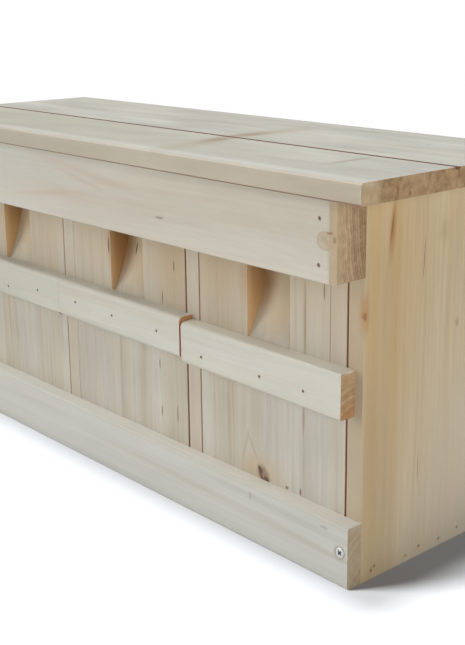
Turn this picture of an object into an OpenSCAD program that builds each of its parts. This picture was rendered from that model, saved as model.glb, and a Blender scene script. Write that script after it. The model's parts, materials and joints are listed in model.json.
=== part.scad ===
// Three-room nest box for small cavity-nesting birds, nailed up from plain fir boards.
// Each room has its own lift-out front door with a curved entrance ramp that runs up behind
// a heavy front beam. A batten on each door is handle, landing perch and stop in one.
// X runs along the box, -Y is the front, Z is up, and Z = 0 is the underside.

/* [Body] */
// Outside length over the two side panels
body_l = 390; // [330:1:450]
// Height of the side panels, up to the underside of the roof
body_h = 204.5; // [195:0.5:225]
// Depth of the side panels, front edge to rear edge
side_d = 112.5; // [100:0.5:130]
// Thickness of the side panels, dividers, floor and back boards
board_t = 11; // [9:0.5:13]
// Bevel on the long edges of the boards
ease = 0.6; // [0.2:0.1:1]

/* [Roof] */
// Thickness of the roof planks
roof_t = 10.5; // [10:0.5:14]
// Overhang of the roof beyond each side panel
roof_side_overhang = 25; // [10:1:40]
// Overhang of the roof beyond the front edges of the side panels
roof_front_overhang = 31.5; // [28:0.5:45]
// Width of the front plank
roof_front_w = 67; // [64:1:75]
// Gap between the two planks
roof_seam = 0.2; // [0.1:0.1:1.5]
// Bevel on the long edges of the roof planks
roof_ease = 1; // [0.4:0.1:2]
// Width of the cleats that hold the roof from below
cleat_w = 12; // [10:1:16]
// Height of the cleats
cleat_h = 14; // [12:1:18]
// Room left behind the doors in front of the cleats
cleat_setback = 7; // [4:0.5:9]

/* [Front beam] */
// Thickness of the beam, front to rear
beam_t = 22.5; // [19:0.5:26]
// Height of the beam
beam_h = 42; // [36:1:50]
// Bevel on the upright front corners of the beam
beam_chamfer = 2.5; // [1:0.5:4]
// Depth of the entrance recesses in the rear face of the beam
recess_d = 13; // [9:0.5:14]

/* [Doors] */
// Thickness of the doors
door_t = 14; // [12:0.5:15]
// Gap between a door and the board on each side of it
door_gap = 0.8; // [0.6:0.1:2]
// Bevel on the upright edges of the doors and the dividers
door_ease = 0.3; // [0.2:0.1:0.8]
// How far a raised door clears the rail, and stays clear of the roof
lift_clear = 0.8; // [0.5:0.1:2]
// Width of the entrances
entrance_w = 33; // [28:1:40]
// Height at which the entrance ramp starts on the face of the door
entrance_z = 113; // [106:0.5:116]
// Depth of the entrance cut, a little more than the door's thickness
cut_depth = 15.5; // [15.2:0.1:17]
// Radius of the round cutter that leaves the ramp
cutter_r = 105; // [90:1:130]

/* [Battens] */
// Thickness of the battens
batten_t = 10; // [8:0.5:13]
// Height of the battens
batten_h = 24.5; // [18:0.5:30]
// Height of the lower edge of the left and middle battens above the underside of the box
batten_z = 92.5; // [70:0.5:94]
// How much lower the right batten is nailed on
right_batten_drop = 2.4; // [0:0.2:4]
// Gap between the left and the middle batten, which nearly touch
tight_gap = 0.3; // [0.2:0.1:1]
// Gap between the middle and the right batten, left free at the outer ends too
batten_gap = 1; // [0.5:0.1:3]
// Rounding of the front edges of the battens
batten_round = 3; // [1:0.5:4]
// Rounding at the right end of the right batten, to which its edges run out
batten_end_round = 0.8; // [0.4:0.1:4]

/* [Bottom rail] */
// Thickness of the rail
rail_t = 10; // [8:0.5:13]
// Height of the rail
rail_h = 34; // [28:1:40]
// Rounding of the front edges of the rail
rail_round = 1.5; // [0.5:0.5:3]

/* [Hanging holes] */
// Diameter of the two holes in the upper back board
hang_d = 5.5; // [4:0.5:8]
// Distance of the holes below the underside of the roof
hang_drop = 22; // [14:1:40]

/* [Fasteners] */
// Shank diameter of the brads in the battens and the floor
brad_d = 1.2; // [1:0.1:1.6]
// Shank diameter of the nails in the beam, the back and the dividers
nail_d = 1.5; // [1.2:0.1:2]
// How deep the heads of the nails and brads are set below the wood
nail_set = 0.8; // [0.3:0.1:1.2]
// How far the nails bite into the far board
nail_bite = 18; // [12:1:24]
// How far the brads of the battens bite into the doors
brad_bite = 9; // [6:0.5:10]
// Shank diameter of the screws
screw_d = 3; // [2.5:0.1:3.5]
// Diameter of the countersunk screw heads
screw_head_d = 6.6; // [6:0.1:7.5]
// How far the rail screws bite into the side panels
rail_screw_bite = 20; // [14:1:26]
// How far the cleat and roof screws bite into the far board
cleat_screw_bite = 8; // [5:0.5:8]
// Clearance round every shank
fit_gap = 0.05; // [0.03:0.01:0.1]

/* [Hidden] */
$fn = 48;
CUTTER_FN = 180;
HULL_FN = 32;
SPILL = 1;
SLICE = 0.01;

// Planes of the frame, front to rear
roof_d = roof_front_overhang + side_d + board_t;
roof_front_y = -roof_d / 2;
front_y = roof_front_y + roof_front_overhang;
back_y = front_y + side_d;
rear_y = back_y + board_t;
seam_y = roof_front_y + roof_front_w;

// Places along the box
roof_l = body_l + 2 * roof_side_overhang;
side_x = body_l / 2 - board_t / 2;
room_w = (body_l - 4 * board_t) / 3;
pitch = room_w + board_t;
divider_x = pitch / 2;
ROOMS = [-1, 0, 1];
SIDES = [-1, 1];
function room_x(room) = room * pitch;

// Heights
roof_z = body_h;
beam_z = body_h - beam_h;
door_lift = rail_h - board_t + lift_clear;
door_h = body_h - board_t - door_lift - lift_clear;
back_split_z = body_h / 2;
cleat_z = body_h - cleat_h;

// Entrance cut: the ramp is an arc that stands upright where the cut is deepest
door_w = room_w - 2 * door_gap;
cutter_z = entrance_z + sqrt(pow(cutter_r, 2) - pow(cutter_r - cut_depth, 2));

// Cleats under the roof, one against each side panel
cleat_x = body_l / 2 - board_t - cleat_w / 2;
cleat_y = front_y + door_t + cleat_setback;
cleat_l = back_y - cleat_y;

// Fastener lengths, from what each one passes through and its bite
batten_brad_l = batten_t + brad_bite;
floor_brad_l = board_t + nail_bite;
board_nail_l = board_t + nail_bite;
beam_nail_l = beam_t + nail_bite;
rail_screw_l = rail_t + rail_screw_bite;
cleat_screw_l = cleat_w + cleat_screw_bite;
roof_screw_l = cleat_h + cleat_screw_bite;
screw_head_h = (screw_head_d - screw_d) / 2;
HEAD_RATIO = 1.3;

// Angles that aim a fastener, whose shank points down, along each way it is driven
to_rear_angle = [90, 0, 0];
to_front_angle = [-90, 0, 0];
to_right_angle = [0, -90, 0];
to_left_angle = [0, 90, 0];
to_top_angle = [180, 0, 0];

// How far each door stands off the middle of its room, from left to right
door_shift = [0.1, -0.4, 0];

// Lower edge of the batten in each room
function batten_low(room) = batten_z - (room > 0 ? right_batten_drop : 0);

// Brads of the left, middle and right batten: places along the door and heights on the batten
batten_brad_x = [[-42, 0, 38], [-43.5, -3.5, 41], [-44.5, 3.5, 36.5]];
batten_brad_z = [[10, 7.5, 12], [12.5, 12, 12], [8, 8.5, 9]];
function batten_brads(room) = [
    for (i = [0 : len(batten_brad_x[room + 1]) - 1]) [
        room_x(room) + batten_brad_x[room + 1][i],
        front_y - batten_t,
        batten_low(room) + batten_brad_z[room + 1][i]
    ]
];

// Brads through a side panel into the floor: distance from the front, height off the middle
floor_brad_y = [8, 10.5, 35, 46, 63, 79, 94];
floor_brad_z = [-0.5, 1, -2, 0, -1.5, 0, -0.5];
function floor_brads(side) = [
    for (i = [0 : len(floor_brad_y) - 1])
        [side * body_l / 2, front_y + floor_brad_y[i], board_t / 2 + floor_brad_z[i]]
];

// Nails through the beam: inset from its end and drop below the roof
beam_nail_inset = [9, 9.5];
beam_nail_drop = [11, 33.5];
beam_nail_points = [
    for (side = SIDES, i = [0, 1])
        [side * (body_l / 2 - beam_nail_inset[i]), front_y - beam_t, body_h - beam_nail_drop[i]]
];

// Screws of the bottom rail, one in the middle of each side panel's front edge
rail_screw_z = 19;
rail_screw_points = [for (side = SIDES) [side * side_x, front_y - rail_t, rail_screw_z]];

// Nails up through the floor into the dividers
divider_nail_margin = 20;
divider_nail_points = [
    for (side = SIDES, y = [divider_nail_margin, side_d / 2, side_d - divider_nail_margin])
        [side * divider_x, front_y + y, 0]
];

// Nails through the back boards into the panels, and through the lower one into the floor
back_nail_margin = 24;
upright_x = [-side_x, -divider_x, divider_x, side_x];
upper_back_nail_points = [
    for (x = upright_x, z = [back_split_z + back_nail_margin, body_h - back_nail_margin])
        [x, rear_y, z]
];
lower_back_nail_points = concat(
    [for (x = upright_x, z = [back_nail_margin, back_split_z - back_nail_margin]) [x, rear_y, z]],
    [for (room = ROOMS) [room_x(room), rear_y, board_t / 2]]
);

// Screws up through the cleats: one into the front plank, one near each end of the rear plank's seat
roof_screw_margin = 16;
roof_screw_y = [
    (cleat_y + seam_y) / 2,
    seam_y + roof_screw_margin,
    back_y - roof_screw_margin
];
roof_screw_points = [for (side = SIDES, y = roof_screw_y) [side * cleat_x, y, cleat_z]];

// Screws through the cleats into the side panels, between the roof screws
cleat_screw_y = [for (i = [0, 1]) (roof_screw_y[i] + roof_screw_y[i + 1]) / 2];
function cleat_screws_at(side) = [
    for (y = cleat_screw_y) [side * (cleat_x - cleat_w / 2), y, cleat_z + cleat_h / 2]
];

hang_z = body_h - hang_drop;

// Colours of the bare wood and of the fasteners
FRONT_WOOD = "#dccfb4";
SIDE_WOOD = "#d3bb8c";
ROOF_WOOD = "#e0d6c2";
INNER_WOOD = "#d8c6a0";
STEEL = "#9a9a98";

// Rectangle from the origin with all four corners bevelled
module eased_rect(w, h, bevel) {
    polygon([
        [bevel, 0], [w - bevel, 0], [w, bevel], [w, h - bevel],
        [w - bevel, h], [bevel, h], [0, h - bevel], [0, bevel]
    ]);
}

// Board with its grain upright: footprint w by d, long edges bevelled
module upright_board(w, d, h, bevel = ease) {
    linear_extrude(h) eased_rect(w, d, bevel);
}

// Lays a profile, drawn front to rear and upwards, along X and centres it
module along_x(length) {
    translate([-length / 2, 0, 0])
        rotate([90, 0, 90]) linear_extrude(length) children();
}

// Board with its grain along X, centred on X: section d by h, long edges bevelled
module level_board(length, d, h, bevel = ease) {
    along_x(length) eased_rect(d, h, bevel);
}

// Section of a strip whose two front edges are rounded
module rounded_strip(t, h, r) {
    translate([r, 0]) square([t - r, h]);
    translate([0, r]) square([t, h - 2 * r]);
    for (z = [r, h - r]) translate([r, z]) circle(r);
}

// Puts a fastener at each point, aimed the way it is driven
module driven(points, angle) {
    for (point = points) translate(point) rotate(angle) children();
}

// Finishing nail: small head set below the wood, pointed tip
module nail(d, length) {
    head_low = nail_set + d;
    tip_h = 1.5 * d;
    translate([0, 0, -head_low]) cylinder(d = d * HEAD_RATIO, h = d);
    translate([0, 0, tip_h - length]) cylinder(d = d, h = length - tip_h - head_low);
    translate([0, 0, -length]) cylinder(d1 = d / 4, d2 = d, h = tip_h);
}

// Hole that a nail leaves in the wood
module nail_hole(d, length) {
    depth = length + fit_gap;
    head_depth = nail_set + d + fit_gap;
    head_d = d * HEAD_RATIO + 2 * fit_gap;
    translate([0, 0, -head_depth]) cylinder(d = head_d, h = head_depth + SPILL);
    translate([0, 0, -depth]) cylinder(d = d + 2 * fit_gap, h = depth);
}

// Countersunk wood screw, head level with the wood
module screw(length) {
    tip_h = 2 * screw_d;
    translate([0, 0, -screw_head_h]) cylinder(d1 = screw_d, d2 = screw_head_d, h = screw_head_h);
    translate([0, 0, tip_h - length]) cylinder(d = screw_d, h = length - tip_h - screw_head_h);
    translate([0, 0, -length]) cylinder(d1 = screw_d / 4, d2 = screw_d, h = tip_h);
}

// Countersunk hole for a screw
module screw_hole(length) {
    depth = length + fit_gap;
    shank_d = screw_d + 2 * fit_gap;
    head_d = screw_head_d + 2 * fit_gap;
    translate([0, 0, -screw_head_h]) cylinder(d1 = shank_d, d2 = head_d, h = screw_head_h);
    cylinder(d = head_d, h = SPILL);
    translate([0, 0, -depth]) cylinder(d = shank_d, h = depth);
}

// Holes of each set of fasteners, cut from every board they pass through
module beam_nail_holes() driven(beam_nail_points, to_rear_angle) nail_hole(nail_d, beam_nail_l);
module rail_screw_holes() driven(rail_screw_points, to_rear_angle) screw_hole(rail_screw_l);
module divider_nail_holes() driven(divider_nail_points, to_top_angle) nail_hole(nail_d, board_nail_l);
module upper_back_holes() driven(upper_back_nail_points, to_front_angle) nail_hole(nail_d, board_nail_l);
module lower_back_holes() driven(lower_back_nail_points, to_front_angle) nail_hole(nail_d, board_nail_l);
module roof_screw_holes() driven(roof_screw_points, to_top_angle) screw_hole(roof_screw_l);

// Brads enter a side panel from outside, so those of the left panel are driven to the right
module floor_brad_holes(side)
    driven(floor_brads(side), side < 0 ? to_right_angle : to_left_angle) nail_hole(brad_d, floor_brad_l);

// Cleat screws enter from inside the room and are driven outwards
module cleat_screw_holes(side)
    driven(cleat_screws_at(side), side < 0 ? to_left_angle : to_right_angle) screw_hole(cleat_screw_l);

// Side panel: one upright board that takes the nails of the floor, beam, rail and back
module side_panel(side) {
    color(SIDE_WOOD) difference() {
        translate([side * side_x - board_t / 2, front_y, 0])
            upright_board(board_t, side_d, body_h);
        floor_brad_holes(side);
        beam_nail_holes();
        rail_screw_holes();
        upper_back_holes();
        lower_back_holes();
        cleat_screw_holes(side);
    }
}

// Divider between two rooms, standing on the floor
module divider(side) {
    color(INNER_WOOD) difference() {
        translate([side * divider_x - board_t / 2, front_y, board_t])
            upright_board(board_t, side_d, body_h - board_t, door_ease);
        divider_nail_holes();
        upper_back_holes();
        lower_back_holes();
    }
}

// Floor between the side panels
module floor_board() {
    color(INNER_WOOD) difference() {
        translate([0, front_y, 0]) level_board(body_l - 2 * board_t, side_d, board_t);
        for (side = SIDES) floor_brad_holes(side);
        divider_nail_holes();
        lower_back_holes();
    }
}

// Lower board of the back, over the rear edges of the panels
module lower_back_board() {
    color(INNER_WOOD) difference() {
        translate([0, back_y, 0]) level_board(body_l, board_t, back_split_z);
        lower_back_holes();
    }
}

// Upper board of the back, with the two hanging holes
module upper_back_board() {
    color(INNER_WOOD) difference() {
        translate([0, back_y, back_split_z])
            level_board(body_l, board_t, body_h - back_split_z);
        upper_back_holes();
        for (side = SIDES)
            translate([room_x(side), back_y - SPILL, hang_z])
                rotate([-90, 0, 0]) cylinder(d = hang_d, h = board_t + 2 * SPILL);
    }
}

// Front plank of the roof
module roof_front_plank() {
    color(ROOF_WOOD) difference() {
        translate([0, roof_front_y, roof_z])
            level_board(roof_l, roof_front_w - roof_seam / 2, roof_t, roof_ease);
        roof_screw_holes();
    }
}

// Rear plank of the roof, level with the outside of the back
module roof_rear_plank() {
    color(ROOF_WOOD) difference() {
        translate([0, seam_y + roof_seam / 2, roof_z])
            level_board(roof_l, rear_y - seam_y - roof_seam / 2, roof_t, roof_ease);
        roof_screw_holes();
    }
}

// Cleat in the top corner of an outer room, which ties both roof planks to the side panel
module roof_cleat(side) {
    color(INNER_WOOD) difference() {
        translate([side * cleat_x - cleat_w / 2, cleat_y, cleat_z])
            cube([cleat_w, cleat_l, cleat_h]);
        roof_screw_holes();
        cleat_screw_holes(side);
    }
}

// Entrance recess in the rear face of the beam, deepest at the lower edge
module beam_recess(room) {
    translate([room_x(room) - entrance_w / 2, front_y - recess_d + cutter_r, beam_z])
        rotate([0, 90, 0]) cylinder(r = cutter_r, h = entrance_w, $fn = CUTTER_FN);
}

// Heavy beam across the front, under the roof, with bevelled upright corners
module front_beam() {
    plan = [
        [-body_l / 2, 0],
        [-body_l / 2, beam_chamfer - beam_t],
        [beam_chamfer - body_l / 2, -beam_t],
        [body_l / 2 - beam_chamfer, -beam_t],
        [body_l / 2, beam_chamfer - beam_t],
        [body_l / 2, 0]
    ];
    color(FRONT_WOOD) difference() {
        intersection() {
            translate([0, front_y, beam_z]) linear_extrude(beam_h) polygon(plan);
            translate([0, front_y - beam_t, beam_z]) level_board(body_l, beam_t, beam_h);
        }
        for (room = ROOMS) beam_recess(room);
        beam_nail_holes();
    }
}

// Rail across the bottom of the front, screwed to the side panels, which keeps the doors in
module bottom_rail() {
    color(FRONT_WOOD) difference() {
        translate([0, front_y - rail_t, 0])
            along_x(body_l) rounded_strip(rail_t, rail_h, rail_round);
        rail_screw_holes();
    }
}

// Entrance cut of a door: a round ramp that comes out through the back of the door,
// and an open slot from there to the top edge
module entrance_cut(room) {
    translate([room_x(room) - entrance_w / 2, front_y, 0]) {
        translate([0, cut_depth - cutter_r, cutter_z])
            rotate([0, 90, 0]) cylinder(r = cutter_r, h = entrance_w, $fn = CUTTER_FN);
        translate([0, -SPILL, cutter_z])
            cube([entrance_w, cut_depth + SPILL, board_t + door_h - cutter_z + SPILL]);
    }
}

// Brads that hold a batten on its door, and the holes they leave
module batten_brad_holes(room)
    driven(batten_brads(room), to_rear_angle) nail_hole(brad_d, batten_brad_l);

// Lift-out door of one room, standing on the floor behind the rail and the beam
module door(room) {
    color(FRONT_WOOD) difference() {
        translate([room_x(room) + door_shift[room + 1] - door_w / 2, front_y, board_t])
            upright_board(door_w, door_t, door_h, door_ease);
        entrance_cut(room);
        batten_brad_holes(room);
    }
}

// Strip of a batten, centred on X, whose front edges run from one rounding to another
module batten_strip(length, left_round, right_round) {
    if (left_round == right_round)
        along_x(length) rounded_strip(batten_t, batten_h, left_round);
    else hull() for (end = [[-1, left_round], [1, right_round]])
        translate([end[0] * (length - SLICE) / 2, 0, 0])
            along_x(SLICE) rounded_strip(batten_t, batten_h, end[1], $fn = HULL_FN);
}

// Batten across a door, long enough to lie on half of each neighbouring edge
module batten(room) {
    left_gap = room == 0 ? tight_gap : batten_gap;
    right_gap = room < 0 ? tight_gap : batten_gap;
    color(FRONT_WOOD) difference() {
        translate([room_x(room) + (left_gap - right_gap) / 4, front_y - batten_t, batten_low(room)])
            batten_strip(pitch - (left_gap + right_gap) / 2, batten_round,
                room > 0 ? batten_end_round : batten_round);
        batten_brad_holes(room);
    }
}

module batten_brad_set(room)
    color(STEEL) driven(batten_brads(room), to_rear_angle) nail(brad_d, batten_brad_l);

module floor_brad_set(side)
    color(STEEL) driven(floor_brads(side), side < 0 ? to_right_angle : to_left_angle)
        nail(brad_d, floor_brad_l);

module divider_nails()
    color(STEEL) driven(divider_nail_points, to_top_angle) nail(nail_d, board_nail_l);

module lower_back_nails()
    color(STEEL) driven(lower_back_nail_points, to_front_angle) nail(nail_d, board_nail_l);

module upper_back_nails()
    color(STEEL) driven(upper_back_nail_points, to_front_angle) nail(nail_d, board_nail_l);

module beam_nails()
    color(STEEL) driven(beam_nail_points, to_rear_angle) nail(nail_d, beam_nail_l);

module rail_screws()
    color(STEEL) driven(rail_screw_points, to_rear_angle) screw(rail_screw_l);

module roof_screws()
    color(STEEL) driven(roof_screw_points, to_top_angle) screw(roof_screw_l);

module cleat_screws()
    color(STEEL) for (side = SIDES)
        driven(cleat_screws_at(side), side < 0 ? to_left_angle : to_right_angle) screw(cleat_screw_l);

side_panel(-1);  // left_side
side_panel(1);  // right_side
divider(-1);  // left_divider
divider(1);  // right_divider
floor_board();
lower_back_board();
upper_back_board();
roof_front_plank();
roof_rear_plank();
roof_cleat(-1);  // left_roof_cleat
roof_cleat(1);  // right_roof_cleat
front_beam();
bottom_rail();
door(-1);  // left_door
door(0);  // middle_door
door(1);  // right_door
batten(-1);  // left_batten
batten(0);  // middle_batten
batten(1);  // right_batten
batten_brad_set(-1);  // left_batten_brads
batten_brad_set(0);  // middle_batten_brads
batten_brad_set(1);  // right_batten_brads
floor_brad_set(-1);  // left_floor_brads
floor_brad_set(1);  // right_floor_brads
divider_nails();
lower_back_nails();
upper_back_nails();
beam_nails();
rail_screws();
roof_screws();
cleat_screws();
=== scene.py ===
"""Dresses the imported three-room nest box: bare fir boards, sunk brads and zinc screws."""
import json
import logging
import math
from abc import ABC, abstractmethod
from dataclasses import dataclass
from enum import Enum
from functools import partial
from typing import Sequence, Union

import bmesh
import bpy
from mathutils import Euler, Matrix, Vector

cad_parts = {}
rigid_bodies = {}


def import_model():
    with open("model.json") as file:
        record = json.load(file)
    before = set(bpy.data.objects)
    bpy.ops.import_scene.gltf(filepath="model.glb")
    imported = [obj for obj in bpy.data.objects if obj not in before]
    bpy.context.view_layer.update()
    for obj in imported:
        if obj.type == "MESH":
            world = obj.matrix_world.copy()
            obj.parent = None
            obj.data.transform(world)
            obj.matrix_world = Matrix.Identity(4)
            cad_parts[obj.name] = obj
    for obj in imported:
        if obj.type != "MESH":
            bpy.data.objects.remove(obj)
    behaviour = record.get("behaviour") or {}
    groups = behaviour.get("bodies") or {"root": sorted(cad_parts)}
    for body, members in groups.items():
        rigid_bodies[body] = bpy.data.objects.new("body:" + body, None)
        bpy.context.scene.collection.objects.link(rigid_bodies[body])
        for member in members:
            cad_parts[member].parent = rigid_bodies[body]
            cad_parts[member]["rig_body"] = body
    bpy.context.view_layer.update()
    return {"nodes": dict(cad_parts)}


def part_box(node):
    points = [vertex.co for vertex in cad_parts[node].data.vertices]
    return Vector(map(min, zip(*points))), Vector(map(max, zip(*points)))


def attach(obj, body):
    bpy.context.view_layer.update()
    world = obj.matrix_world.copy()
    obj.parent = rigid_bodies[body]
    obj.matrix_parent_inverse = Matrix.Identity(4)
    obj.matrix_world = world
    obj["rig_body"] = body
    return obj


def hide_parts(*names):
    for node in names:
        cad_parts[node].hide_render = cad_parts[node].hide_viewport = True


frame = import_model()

LOG = logging.getLogger("nest_box")
MM = 0.001
CAD_WELD_MM = 0.001
WELD_MM = 0.0005

Rgb = tuple[int, int, int]
Point = tuple[float, float, float]
Socket = bpy.types.NodeSocket
Value = Union[float, Sequence[float], Socket]


def tone(rgb: Rgb) -> tuple[float, float, float, float]:
    """Turns a screen colour of 0 to 255 into the linear colour that shaders use.

    Args:
        rgb: Red, green and blue as they look on a screen.

    Returns:
        The linear colour with full opacity.
    """
    linear = [
        part / 255 / 12.92 if part <= 10 else ((part / 255 + 0.055) / 1.055) ** 2.4
        for part in rgb
    ]
    return (*linear, 1.0)


def low_mm(node: str) -> Vector:
    """Gives the low corner of a CAD node's box in millimetres."""
    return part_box(node)[0] / MM


def high_mm(node: str) -> Vector:
    """Gives the high corner of a CAD node's box in millimetres."""
    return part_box(node)[1] / MM


class Grain(Enum):
    """The way a board's fibres run, and the turn in degrees that lays them along X."""

    LENGTHWISE = ((1.0, 0.0, 0.0), (0.0, 0.0, 0.0))
    CROSSWISE = ((0.0, 1.0, 0.0), (0.0, 0.0, -90.0))
    UPRIGHT = ((0.0, 0.0, 1.0), (0.0, 90.0, 0.0))

    @property
    def axis(self) -> Point:
        """Direction of the fibres."""
        return self.value[0]

    @property
    def turn(self) -> Euler:
        """Rotation that lays the fibres along X."""
        return Euler([math.radians(angle) for angle in self.value[1]])


class MarkKind(Enum):
    """What a mark in the wood is: softness of its rim, and raggedness."""

    PIN = (0.40, 0.45)
    STREAK = (0.95, 0.25)
    STAIN = (0.90, 0.20)
    WASH = (0.60, 0.08)
    SAWN = (0.16, 0.03)
    DISC = (0.12, 0.30)
    SMEAR = (0.97, 0.80)


class SocketKind(Enum):
    """Kinds of socket on a shader node group."""

    VALUE = "NodeSocketFloat"
    PLACE = "NodeSocketVector"
    COLOUR = "NodeSocketColor"


class Reach(Enum):
    """What a lamp lights, and how it is linked to the floor for that."""

    BOX = "EXCLUDE"
    FLOOR = "INCLUDE"


class Drive(Enum):
    """The way a fastener is driven into the wood."""

    REARWARD = (0.0, 1.0, 0.0)
    FORWARD = (0.0, -1.0, 0.0)
    RIGHTWARD = (1.0, 0.0, 0.0)
    LEFTWARD = (-1.0, 0.0, 0.0)
    UPWARD = (0.0, 0.0, 1.0)


class Graph:
    """Short calls that add and link the nodes of one shader tree."""

    def __init__(self, tree: bpy.types.NodeTree) -> None:
        """Keeps the tree that the calls add to."""
        self.tree = tree

    def feed(self, socket: Socket, value: Value) -> None:
        """Links a socket to another one, or sets its own value.

        Args:
            socket: The input to feed.
            value: A number, a vector, a colour or a socket.
        """
        if isinstance(value, bpy.types.NodeSocket):
            self.tree.links.new(value, socket)
        else:
            socket.default_value = value

    def add(self, kind: str, **settings: object) -> bpy.types.Node:
        """Adds a node.

        Args:
            kind: Blender's name for the type of node.
            settings: Properties to set on it.

        Returns:
            The new node.
        """
        node = self.tree.nodes.new(kind)
        for name, value in settings.items():
            setattr(node, name, value)
        return node

    def math(self, operation: str, *values: Value) -> Socket:
        """Adds a Math node.

        Args:
            operation: Name of the operation.
            values: Its numbers or sockets, in order.

        Returns:
            The result.
        """
        node = self.add("ShaderNodeMath", operation=operation)
        for socket, value in zip(node.inputs, values):
            self.feed(socket, value)
        return node.outputs[0]

    def vector(self, operation: str, *values: Value) -> Socket:
        """Adds a Vector Math node.

        Args:
            operation: Name of the operation.
            values: Its vectors or sockets, in order.

        Returns:
            The resulting vector, or the number for a length or a dot product.
        """
        node = self.add("ShaderNodeVectorMath", operation=operation)
        for socket, value in zip(node.inputs, values):
            self.feed(socket, value)
        return node.outputs["Value" if operation in ("LENGTH", "DOT_PRODUCT") else "Vector"]

    def remap(
        self, value: Value, low: Value, high: Value, start: float = 0.0, end: float = 1.0
    ) -> Socket:
        """Turns a value into a smooth step.

        Args:
            value: The number to map.
            low: Where the step begins.
            high: Where it ends.
            start: Result at and below low.
            end: Result at and above high.

        Returns:
            The mapped number.
        """
        node = self.add("ShaderNodeMapRange", interpolation_type="SMOOTHSTEP")
        for socket, part in zip(node.inputs, (value, low, high, start, end)):
            self.feed(socket, part)
        return node.outputs[0]

    def mix(self, share: Value, first: Value, second: Value, blend: str = "MIX") -> Socket:
        """Mixes two colours.

        Args:
            share: How much of the second colour is used.
            first: The first colour.
            second: The second colour.
            blend: How they are mixed.

        Returns:
            The mixed colour.
        """
        node = self.add("ShaderNodeMix", data_type="RGBA", blend_type=blend)
        for index, part in ((0, share), (6, first), (7, second)):
            self.feed(node.inputs[index], part)
        return node.outputs[2]

    def noise(self, place: Value, stretch: Point, detail: float = 2.0) -> Socket:
        """Adds noise centred on zero.

        Args:
            place: Coordinates in metres.
            stretch: Waves per metre along each axis.
            detail: Number of finer layers.

        Returns:
            A number of about -0.5 to 0.5.
        """
        node = self.add("ShaderNodeTexNoise")
        self.feed(node.inputs["Vector"], self.vector("MULTIPLY", place, stretch))
        self.feed(node.inputs["Scale"], 1.0)
        self.feed(node.inputs["Detail"], detail)
        return self.math("SUBTRACT", node.outputs[0], 0.5)

    def mapping(self, place: Value, kind: str, location: Value, rotation: Value, scale: Value) -> Socket:
        """Adds a Mapping node.

        Args:
            place: Coordinates to map.
            kind: POINT to turn and move them, TEXTURE to move a pattern to a place.
            location: Shift in metres.
            rotation: Turn in radians.
            scale: Size along each axis.

        Returns:
            The mapped coordinates.
        """
        node = self.add("ShaderNodeMapping", vector_type=kind)
        for socket, part in zip(node.inputs, (place, location, rotation, scale)):
            self.feed(socket, part)
        return node.outputs[0]

    def group(self, tree: bpy.types.NodeTree, feeds: dict[str, Value]) -> bpy.types.Node:
        """Places a node group.

        Args:
            tree: The group.
            feeds: Value or socket for each of its inputs.

        Returns:
            The node that holds the group.
        """
        node = self.add("ShaderNodeGroup", node_tree=tree)
        for name, value in feeds.items():
            self.feed(node.inputs[name], value)
        return node

    def surface(
        self, colour: Socket, effect: bpy.types.Node, strength: float, depth_mm: float
    ) -> bpy.types.Node:
        """Feeds the material's own shader.

        Args:
            colour: Base colour.
            effect: Group that gives roughness and height.
            strength: How strongly the height shows.
            depth_mm: How deep it is.

        Returns:
            The shader.
        """
        shader = self.tree.nodes["Principled BSDF"]
        bump = self.add("ShaderNodeBump")
        bump.inputs["Strength"].default_value = strength
        bump.inputs["Distance"].default_value = depth_mm * MM
        self.feed(bump.inputs["Height"], effect.outputs["Height"])
        self.feed(shader.inputs["Base Color"], colour)
        self.feed(shader.inputs["Roughness"], effect.outputs["Roughness"])
        self.feed(shader.inputs["Normal"], bump.outputs["Normal"])
        return shader

    def looked_at(self) -> Socket:
        """Tells rays of the camera, reflections and glass from the rest.

        Returns:
            1 for those rays and 0 for the rest.
        """
        path = self.add("ShaderNodeLightPath").outputs
        seen = self.math("MAXIMUM", path["Is Camera Ray"], path["Is Glossy Ray"])
        return self.math("MAXIMUM", seen, path["Is Transmission Ray"])


class Effect(ABC):
    """A shader node group that several materials share, built when it is first used."""

    name: str = ""
    inputs: dict[str, SocketKind] = {}
    outputs: dict[str, SocketKind] = {}

    @classmethod
    def tree(cls) -> bpy.types.NodeTree:
        """Gives the group, and builds it the first time.

        Returns:
            The node tree of the group.
        """
        if cls.name in bpy.data.node_groups:
            return bpy.data.node_groups[cls.name]
        tree = bpy.data.node_groups.new(cls.name, "ShaderNodeTree")
        for name, kind in cls.inputs.items():
            tree.interface.new_socket(name, in_out="INPUT", socket_type=kind.value)
        for name, kind in cls.outputs.items():
            tree.interface.new_socket(name, in_out="OUTPUT", socket_type=kind.value)
        graph = Graph(tree)
        given = graph.add("NodeGroupInput").outputs
        made = cls.wire(graph, {name: given[name] for name in cls.inputs})
        result = graph.add("NodeGroupOutput").inputs
        for name, socket in made.items():
            graph.feed(result[name], socket)
        return tree

    @staticmethod
    @abstractmethod
    def wire(graph: Graph, given: dict[str, Socket]) -> dict[str, Socket]:
        """Wires the inside of the group.

        Args:
            graph: The group's tree.
            given: Its inputs by name.

        Returns:
            Its outputs by name.
        """


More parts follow.
